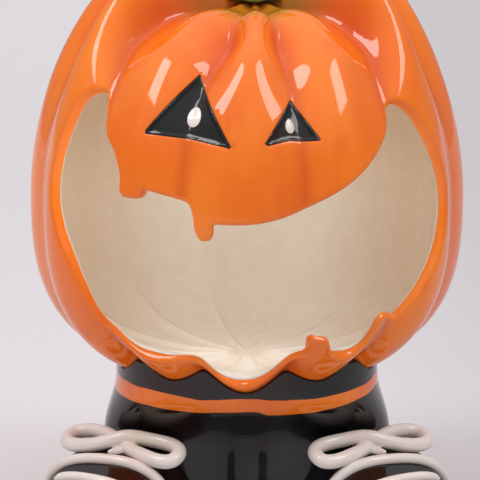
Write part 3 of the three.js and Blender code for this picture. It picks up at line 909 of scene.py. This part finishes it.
# One closed wall: outer sheet, rounded rim round the mouth, eye pockets, inner sheet.
def addShell():
    pocketCuts = [(outlineField(eyeEdges[side], 1), eyes["edgeRadius"]) for side in ("left", "right")]
    cuts = [(mouthField, rim["radius"])] + pocketCuts
    outerFlat, outerFaces, outerLoops = cutSheet(headColumns(), headRows(), cuts, headGrid["edgeParts"])
    innerFlat, innerFaces, innerLoops = mouthSheet
    outerFlat, outerFaces, chains = tightened(
        outerFlat, outerFaces, outerLoops[0][0], outerLoops[1][0], outerLoops[2][0]
    )
    innerFlat, innerFaces, innerChains = tightened(innerFlat, innerFaces, innerLoops[0][0])
    print("shell rims:", [len(chain) for chain in chains], len(innerChains[0]))
    points = [headPoint(*outerFlat.T, 0)]
    base = len(outerFlat)
    points.append(headPoint(*innerFlat.T, head["wall"]))
    faces = list(outerFaces) + turned(innerFaces, base)
    total = base + len(innerFlat)

    def addRing(ringPoints):
        nonlocal total
        points.append(ringPoints)
        ring = list(range(total, total + len(ringPoints)))
        total += len(ringPoints)
        return ring

    # the mouth's rim
    mouthRing = chains[0]
    flat = outerFlat[mouthRing]
    innerRing = innerChains[0]
    start = int(np.argmin(((innerFlat[innerRing] - flat[0]) ** 2).sum(-1)))
    innerRing = innerRing[start:] + innerRing[:start]
    innerRing = [corner + base for corner in innerRing]
    top = headPoint(*flat.T, 0)
    normal = headNormal(*flat.T, 0)
    for _ in range(6):
        normal = (np.roll(normal, 1, 0) + 2 * normal + np.roll(normal, -1, 0)) / 4
    way = towardsOpening(mouthField, flat, 0, normal)
    bottom = headPoint(*flat.T, head["wall"])
    radius = rim["radius"]
    rings = [mouthRing]
    for k in range(1, rim["arcSteps"] + 1):
        turn = math.pi / 2 * k / rim["arcSteps"]
        rings.append(addRing(rounded(top, way, normal, radius, turn)))
    low = bottom + way * radius
    high = top + way * radius - normal * radius
    for share in rim["wallShares"]:
        swell = rim["crown"] * math.sin(math.pi * share)
        rings.append(addRing(mix(high, low, share) + way * swell))
    rings.append(addRing(low))
    rings.append(innerRing)
    for first, second in zip(rings, rings[1:]):
        faces.extend(bridge(first, second))
    # eye pockets: a small rounded edge, a wall and a floor
    floorShares = (0.82, 0.64, 0.46, 0.28, 0.1)
    for ring, side in zip(chains[1:], ("left", "right")):
        flat = outerFlat[ring]
        field = outlineField(eyeEdges[side], 1)
        top = headPoint(*flat.T, 0)
        normal = headNormal(*flat.T, 0)
        way = towardsOpening(field, flat, 0, normal)
        radius = eyes["edgeRadius"]
        rings = [ring]
        for k in (1, 2, 3):
            turn = math.pi / 2 * k / 3
            rings.append(addRing(rounded(top, way, normal, radius, turn)))
        rings.append(addRing(top + way * radius - normal * eyes["floor"]))
        middle = flat.mean(0)
        for share in floorShares:
            rings.append(addRing(headPoint(*mix(middle, flat, share).T, eyes["floor"])))
        for first, second in zip(rings, rings[1:]):
            faces.extend(bridge(first, second))
        faces.append(rings[-1])
    points = np.vstack(points)
    # The groove attribute carries painted shade: it grows with the groove's depth and peaks on the seam line,
    # where the orange glaze is painted darker.
    groove = np.zeros(len(points))
    depth = grooveDepth(*outerFlat.T, 110.0)
    atSeam = np.clip((np.abs(acrossLobe(lobeAzimuth(*outerFlat.T))) - 0.8) / 0.2, 0, 1)
    groove[:base] = np.clip(depth / 9, 0, 1) * 0.65 + 0.35 * atSeam
    crown = np.zeros(len(points))
    crown[:base] = smoothStep(60, 78, outerFlat[:, 1]) * 0.8
    shell = meshPiece("pumpkinShell", points, faces, groove=groove, crown=crown)
    finishPiece(shell, orange, "orange_glaze", "pumpkin_shell")


# The cream coat inside: two sheets and a rounded edge that closes the rim.
def addLining():
    flat, sheetFaces, loops = mouthSheet
    flat, sheetFaces, chains = tightened(flat, sheetFaces, loops[0][0])
    ring = chains[0]
    touch = 0.02
    outerDepth = head["wall"] + touch
    base = len(flat)
    points = [headPoint(*flat.T, outerDepth), liningPoint(*flat.T)]
    faces = bothSides(sheetFaces, base)
    edge = flat[ring]
    normal = headNormal(*edge.T, 0)
    for _ in range(6):
        normal = (np.roll(normal, 1, 0) + 2 * normal + np.roll(normal, -1, 0)) / 4
    way = towardsOpening(mouthField, edge, 0, normal)
    low, high = liningPoint(*edge.T), headPoint(*edge.T, outerDepth)
    radius = rim["radius"]
    total = 2 * base
    rings = [ring]
    steps = rim["liningSteps"]
    for k in range(steps + 1):
        turn = math.pi / 2 * k / steps
        if k == steps:
            break
        spot = high + way * radius * math.cos(turn) + (low - high) * math.sin(turn)
        points.append(spot)
        rings.append(list(range(total, total + len(ring))))
        total += len(ring)
    rings.append([corner + base for corner in ring])
    for first, second in zip(rings, rings[1:]):
        faces.extend(bridge(first, second))
    lining = meshPiece("bowlLining", np.vstack(points), faces)
    finishPiece(lining, cream, "cream_glaze", "bowl_lining")


addShell()
addLining()
print("pumpkin is made")


# Eyes

eyeGrid = {"step": 0.45, "parts": 2}


def eyeDepth(distance):
    return mix(eyes["dishEdge"], eyes["dishMiddle"], smoothStep(0, 2.6, distance))


def addEye(side):
    outline = eyeEdges[side]
    field = outlineField(outline, -1)
    low, high = outline.min(0) - 1, outline.max(0) + 1
    step = eyeGrid["step"]
    columns, rows = np.arange(low[0], high[0], step), np.arange(low[1], high[1], step)
    flat, faces, loops = cutSheet(columns, rows, [(field, eyes["sideGap"])], eyeGrid["parts"])
    flat, faces, chains = tightened(flat, faces, loops[0][0])
    ring, base = chains[0], len(flat)
    distance = field(flat)
    points = np.vstack([headPoint(*flat.T, eyeDepth(distance)), headPoint(*flat.T, eyes["floor"] - 0.02)])
    faces = bothSides(faces, base)
    faces += bridge(ring, [corner + base for corner in ring])
    eye = meshPiece(side + "Eye", points, faces)
    finishPiece(eye, black, "black_glaze", side + "_eye")
    addPupil(side, field)


# A raised drop of white glaze, a little egg-shaped.
def addPupil(side, eyeField):
    shape = pupils[side]

    def place(azimuth, elevation):
        out = np.cos(np.radians(elevation))
        turn = np.radians(azimuth)
        egg = 1 + 0.12 * np.cos(turn)
        across = shape["azimuth"] + shape["across"] * out * np.sin(turn) * egg
        up = shape["elevation"] - shape["up"] * out * np.cos(turn)
        rise = np.sin(np.radians(elevation))
        lift = np.where(rise > 0, shape["height"] * np.abs(rise) ** 1.2, 0.12 * rise)
        surface = eyeDepth(eyeField(np.stack([across, up], -1)))
        return headPoint(across, up, surface - lift)

    pupil = mouldPiece(side + "Pupil", 40, 24, place)
    finishPiece(pupil, white, "white_glaze", side + "_pupil")


for side in ("left", "right"):
    addEye(side)
print("eyes are made")


# Stem

stalk = {"height": 50, "radius": 13, "ribs": 6, "ribDepth": 0.09, "lean": (5, 6), "base": 106}


def stemPoint(azimuth, elevation):
    t = (90 + elevation) / 180
    up = np.sin(np.radians(elevation)) * 0.5 + 0.5
    flare = mix(1.25, 0.8, smoothStep(0, 0.45, up)) + 0.22 * smoothStep(0.6, 1, up)
    cap = np.minimum(1, np.cos(np.radians(elevation)) * 2.2)
    rib = 1 + stalk["ribDepth"] * np.cos(np.radians(azimuth * stalk["ribs"]))
    radius = stalk["radius"] * flare * cap * rib
    x = head["crownShift"] + stalk["lean"][0] * t * t + radius * np.sin(np.radians(azimuth))
    y = stalk["lean"][1] * t * t - radius * np.cos(np.radians(azimuth))
    return np.stack([x, y, head["centreHeight"] + stalk["base"] + stalk["height"] * up], -1)


# Painted shade: the groove attribute marks the hollows between the stem's ribs, which the green glaze paints
# darker.
def stemGroove(azimuth, elevation):
    return {"groove": np.clip(0.5 - 0.6 * np.cos(np.radians(azimuth * stalk["ribs"])), 0, 1)}


def addStem():
    stem = mouldPiece("greenStem", 96, 60, stemPoint, stemGroove)
    finishPiece(stem, green, "green_glaze", "stem")


addStem()


# Trousers and waistband

trousers = {
    "middleY": -3,
    "halfWidth": (72, 79),
    "halfDepth": (68, 44),
    "power": 2.5,
    "valley": 9,
    "bottom": 24,
    "headGap": 0.3,
}


def trouserPoint(azimuth, z, inset):
    low = smoothStep(0, 34, 90 - z)
    halfWidth = mix(*trousers["halfWidth"], low) - inset
    halfDepth = mix(*trousers["halfDepth"], low) - inset
    forward, sideways = np.cos(np.radians(azimuth)), np.sin(np.radians(azimuth))
    power = trousers["power"]
    squarish = (np.abs(forward) ** power + np.abs(sideways) ** power) ** (-1 / power)
    x = halfWidth * sideways * squarish
    valley = trousers["valley"] * smoothStep(0, 40, 84 - z) * np.exp(-((x / 13) ** 2))
    y = (halfDepth - valley * np.abs(forward)) * forward * squarish
    return np.stack([x, trousers["middleY"] - y, z + 0 * x], -1)


# Height of the head's underside above a point, found by halving steps of elevation.
def headHeight(x, y):
    azimuth = np.degrees(np.arctan2(x, -y / head["depthRatio"]))
    reach = np.hypot(x, y / head["depthRatio"])
    low, high = np.full(len(x), -89.99), np.full(len(x), -5.0)
    for _ in range(40):
        middle = (low + high) / 2
        level = headRadius(azimuth, middle, -trousers["headGap"] + 0 * x) * np.cos(np.radians(middle))
        low, high = np.where(level < reach, middle, low), np.where(level < reach, high, middle)
    radius = headRadius(azimuth, low, -trousers["headGap"] + 0 * x)
    return head["centreHeight"] + radius * np.sin(np.radians(low))


# Height at which the trousers' wall meets the head.
def trouserTop(azimuth):
    low, high = np.full(len(azimuth), 84.0), np.full(len(azimuth), 125.0)
    for _ in range(30):
        middle = (low + high) / 2
        p = trouserPoint(azimuth, middle, 0)
        under = headHeight(p[:, 0], p[:, 1]) > middle
        low, high = np.where(under, middle, low), np.where(under, high, middle)
    return low


def addTrousers():
    def place(azimuth, elevation):
        top = np.minimum(trouserTop(azimuth), frameTop)
        wallShare = np.clip((elevation + 60) / 120, 0, 1)
        z = mix(trousers["bottom"], top, wallShare)
        p = trouserPoint(azimuth, z, 0)
        inward = np.clip((90 - np.abs(elevation)) / 30, 0, 1)
        middle = np.array([0, trousers["middleY"]])
        p[:, :2] = middle + (p[:, :2] - middle) * inward[:, None]
        above = elevation > 60.01
        p[above, 2] = np.minimum(headHeight(p[above, 0], p[above, 1]), top[above])
        return p

    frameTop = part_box("trousers")[1].z / millimetre + 0.5
    made = mouldPiece("trousersBody", 192, 96, place)
    finishPiece(made, black, "black_glaze", "trousers")


band = {
    "azimuths": (
        -180, -120, -93, -83, -58, -46, -35, -28, -21, -12, -4,
        2, 5, 8, 17, 34, 55, 69, 90, 130, 180,
    ),
    "high": (
        90, 90, 91, 92, 91.7, 91, 90.1, 89, 88, 88, 89,
        88.6, 88.4, 88, 87.8, 88.2, 90.1, 92.5, 93, 91, 90,
    ),
    "low": (
        80, 80, 80.8, 81.3, 80.6, 80, 79, 78.4, 78.4, 79, 79.1,
        79.1, 78.6, 76.6, 76.9, 78.8, 82.6, 85.2, 85, 82, 80,
    ),
    "proud": 0.14,
    "sunk": -0.6,
}


def addWaistband():
    def place(azimuth, elevation):
        low = np.interp(azimuth, band["azimuths"], band["low"])
        high = np.interp(azimuth, band["azimuths"], band["high"])
        wobble = 0.25 * np.sin(np.radians(azimuth * 9 + 40)) + 0.15 * np.sin(np.radians(azimuth * 23))
        turn = np.radians(elevation)
        flat = np.sign(np.sin(turn)) * np.abs(np.sin(turn)) ** 0.8
        z = (low + high) / 2 + (high - low) / 2 * flat + wobble * np.abs(flat)
        outset = mix(band["sunk"], band["proud"], np.abs(np.cos(turn)) ** 0.35)
        return trouserPoint(azimuth, z, -outset)

    columns, rows = 256, 20
    azimuths = np.linspace(-180, 180, columns, endpoint=False)
    turns = np.linspace(-90, 90, rows)
    points, faces = [], []
    for turn in turns:
        points.append(place(azimuths, np.full(columns, turn)))
    inner = []
    for turn in turns[::-1][1:-1]:
        p = place(azimuths, np.full(columns, turn))
        inner.append(trouserPoint(azimuths, p[:, 2], -band["sunk"] + 0.4))
    points += inner
    rings = [list(range(k * columns, (k + 1) * columns)) for k in range(len(points))]
    for first, second in zip(rings, rings[1:] + rings[:1]):
        faces.extend(bridge(first, second))
    made = meshPiece("waistStripe", np.vstack(points), faces)
    finishPiece(made, orange, "orange_glaze", "waistband")


addTrousers()
addWaistband()
print("trousers are made")


# Boots

boot = {
    "sole": 7,
    "gap": 0.3,
    "front": 120,
    "back": 40,
    "halfWidth": (28, 41),
    "height": (56, 42),
    "ankle": (45, 2),
    "toeOut": 30,
}


def bootHalfWidth(along):
    return mix(*boot["halfWidth"], smoothStep(-30, 40, along))


def bootHeight(along):
    return mix(*boot["height"], smoothStep(50, 95, along))


# From the boot's own frame, toe along -Y, to its place under the figure.
def toBootPlace(points, side):
    turn = math.radians(boot["toeOut"] * side)
    x = points[:, 0] * math.cos(turn) - points[:, 1] * math.sin(turn) + boot["ankle"][0] * side
    y = points[:, 0] * math.sin(turn) + points[:, 1] * math.cos(turn) + boot["ankle"][1]
    return np.stack([x, y, points[:, 2]], -1)


def bootPoint(azimuth, elevation, inset=0):
    forward, sideways = np.cos(np.radians(azimuth)), np.sin(np.radians(azimuth))
    centre, half = (boot["front"] - boot["back"]) / 2, (boot["front"] + boot["back"]) / 2 - inset
    out = np.maximum(np.cos(np.radians(elevation)), 0) ** 0.75
    squarish = (np.abs(forward) ** 2.3 + np.abs(sideways) ** 2.3) ** (-1 / 2.3)
    along = centre + half * forward * squarish * out
    wide = (bootHalfWidth(along) - inset) * sideways * squarish * out
    rise = np.maximum(np.sin(np.radians(elevation)), 0) ** 0.85
    ground = boot["sole"] + boot["gap"]
    return np.stack([wide, -along, ground + (bootHeight(along) - inset - ground) * rise], -1)


def addBoot(side, name):
    def upper(azimuth, elevation):
        # the ball's upper part is the dome, the rest is the flat base
        dome = np.clip((elevation + 60) / 150 * 90, 0, 90)
        p = bootPoint(azimuth, dome)
        under = elevation < -60.01
        share = np.clip((90 + elevation) / 30, 0, 1)
        middle = np.array([0, -(boot["front"] - boot["back"]) / 2])
        p[under, :2] = middle + (p[under, :2] - middle) * share[under, None]
        shrink = 1 - 0.012 * (1 - smoothStep(0, 4, dome)) * np.where(under, 0, 1)
        p[:, :2] = middle + (p[:, :2] - middle) * shrink[:, None]
        return toBootPlace(p, side)

    made = mouldPiece(name + "Boot", 160, 90, upper)
    finishPiece(made, black, "black_glaze", name + "_boot")


soleShape = {"inset": 0.8, "edge": 1.6}


def addSole(side, name):
    def slab(azimuth, elevation):
        edge = np.clip((90 - np.abs(elevation)) / 50, 0, 1)
        bend = np.clip(elevation / 40, -1, 1)
        round_ = soleShape["edge"] * (1 - np.sqrt(np.maximum(1 - bend**2, 0)))
        p = bootPoint(azimuth, np.zeros_like(azimuth), soleShape["inset"])
        middle = np.array([0, -(boot["front"] - boot["back"]) / 2])
        away = p[:, :2] - middle
        size = np.maximum(np.linalg.norm(away, axis=1), 1e-6)
        away *= ((size - round_) / size)[:, None] * edge[:, None]
        z = boot["sole"] / 2 * (1 + np.sign(bend) * np.abs(np.sin(np.pi / 2 * bend)))
        return toBootPlace(np.stack([middle[0] + away[:, 0], middle[1] + away[:, 1], z], -1), side)

    made = mouldPiece(name + "Sole", 96, 36, slab)
    finishPiece(made, black, "black_glaze", name + "_sole")


# Laces and bows, rolled from coils of clay

lace = {
    "coil": 3.6,
    "proud": 0.15,
    "strapCoil": 3.1,
    "rows": {
        "top": {"station": 66.5, "skew": 4, "outer": 68, "inner": 62},
        "middle": {"station": 80, "skew": 0, "outer": 33, "inner": 56},
        "lower": {"station": 94, "skew": 0, "outer": 33, "inner": 48},
    },
}


# Height of the boot above a place in its outline.
def bootTop(along, across):
    centre, half = (boot["front"] - boot["back"]) / 2, (boot["front"] + boot["back"]) / 2
    lengthShare = np.abs(along - centre) / half
    widthShare = np.abs(across) / bootHalfWidth(along)
    out = np.minimum(1, (lengthShare**2.3 + widthShare**2.3) ** (1 / 2.3))
    elevation = np.arccos(out ** (1 / 0.75))
    ground = boot["sole"] + boot["gap"]
    return ground + (bootHeight(along) - ground) * np.sin(elevation) ** 0.85


# Rolled clay along one or more runs of points, made as a round-bevelled curve and turned into a mesh.
def coilPiece(name, runs, radius):
    curve = bpy.data.curves.new(name, "CURVE")
    curve.dimensions = "3D"
    curve.bevel_depth = radius * millimetre
    curve.bevel_resolution = 7
    curve.resolution_u = 6
    curve.use_fill_caps = True
    for points, closed in runs:
        spline = curve.splines.new("NURBS")
        spline.points.add(len(points) - 1)
        for spot, p in zip(spline.points, points):
            spot.co = (*(np.array(p[:3]) * millimetre), 1)
            spot.radius = p[3] if len(p) > 3 else 1
        spline.order_u = 4
        spline.use_cyclic_u = closed
        spline.use_endpoint_u = not closed
    piece = bpy.data.objects.new(name, curve)
    scene.collection.objects.link(piece)
    bpy.ops.object.select_all(action="DESELECT")
    bpy.context.view_layer.objects.active = piece
    piece.select_set(True)
    bpy.ops.object.convert(target="MESH")
    return closeUp(bpy.context.object)


def addLace(side, name, row):
    shape = lace["rows"][row]
    count = 22
    share = np.linspace(0, 1, count)
    turn = np.radians(mix(-shape["outer"], shape["inner"], share) * -side)
    across = bootHalfWidth(shape["station"]) * np.sin(turn)
    along = shape["station"] + shape["skew"] * side * np.sin(turn) - 10 * (1 - np.cos(turn))
    spots = np.stack([across * 1.03, -along, bootTop(along, across) + lace["coil"] * lace["proud"]], -1)
    spots = toBootPlace(spots, side)
    taper = np.sqrt(np.maximum(0.03, 1 - np.abs(2 * share - 1) ** 9))
    run = (np.column_stack([spots, taper]), False)
    made = coilPiece(name + "Lace" + row.capitalize(), [run], lace["strapCoil"])
    finishPiece(made, white, "white_glaze", name + "_lace_" + row)


bow = {
    "station": 53,
    "shift": 6,
    "reach": {"outer": 35.5, "inner": 33.5},
    "halfWidth": {"outer": 7.6, "inner": 7.0},
    "tilt": {"outer": 0.32, "inner": 0.42},
    "droop": {"outer": 0.06, "inner": 0.13},
    "drop": 0.8,
    "coil": 4.0,
    "crossingLift": 2.6,
    "webLow": 2.6,
    "web": ((-5, 2, 0.3), (-1, -3, 0.9), (2, -5, 0.9), (5, -9, 0.3)),
    "voxel": 0.5,
    "smooth": 6,
}


# A figure of eight that leans towards the toe; at 90 degrees its strand lies on top of the crossing.
def bowPoint(side, turn):
    half = "inner" if math.cos(turn) > 0 else "outer"
    across = math.cos(turn)
    x = bow["reach"][half] * across
    bend = math.sin(2 * turn)
    y = bow["halfWidth"][half] * math.copysign(abs(bend) ** 0.8, bend)
    near = math.exp(-((across / 0.3) ** 2))
    z = boot["height"][0] + lace["coil"] + boot["gap"]
    z += y * bow["tilt"][half] - bow["drop"] - abs(x) * bow["droop"][half]
    z += bow["crossingLift"] * near * math.sin(turn)
    return (-x * side - bow["shift"] * side, y - bow["station"], z)


def addBow(side, name):
    loop = np.array([bowPoint(side, math.radians(turn)) for turn in range(0, 360, 10)])
    runs = [(toBootPlace(loop, side), True)]
    crossing = np.array(bowPoint(side, -math.pi / 2))
    web = [(*(crossing + (dx * side, dy, -bow["webLow"])), size) for dx, dy, size in bow["web"]]
    web = np.array(web)
    runs.append((np.column_stack([toBootPlace(web[:, :3], side), web[:, 3]]), False))
    made = coilPiece(name + "Bow", runs, bow["coil"])
    remesh = made.modifiers.new("fuse", "REMESH")
    remesh.mode = "VOXEL"
    remesh.voxel_size = bow["voxel"] * millimetre
    remesh.use_smooth_shade = True
    soften = made.modifiers.new("soften", "SMOOTH")
    soften.factor = 0.5
    soften.iterations = bow["smooth"]
    bpy.context.view_layer.objects.active = made
    bpy.ops.object.modifier_apply(modifier="fuse")
    bpy.ops.object.modifier_apply(modifier="soften")
    finishPiece(made, white, "white_glaze", name + "_bow")


for side, name in ((-1, "left"), (1, "right")):
    addBoot(side, name)
    addSole(side, name)
    for row in lace["rows"]:
        addLace(side, name, row)
    addBow(side, name)
print("boots are made")
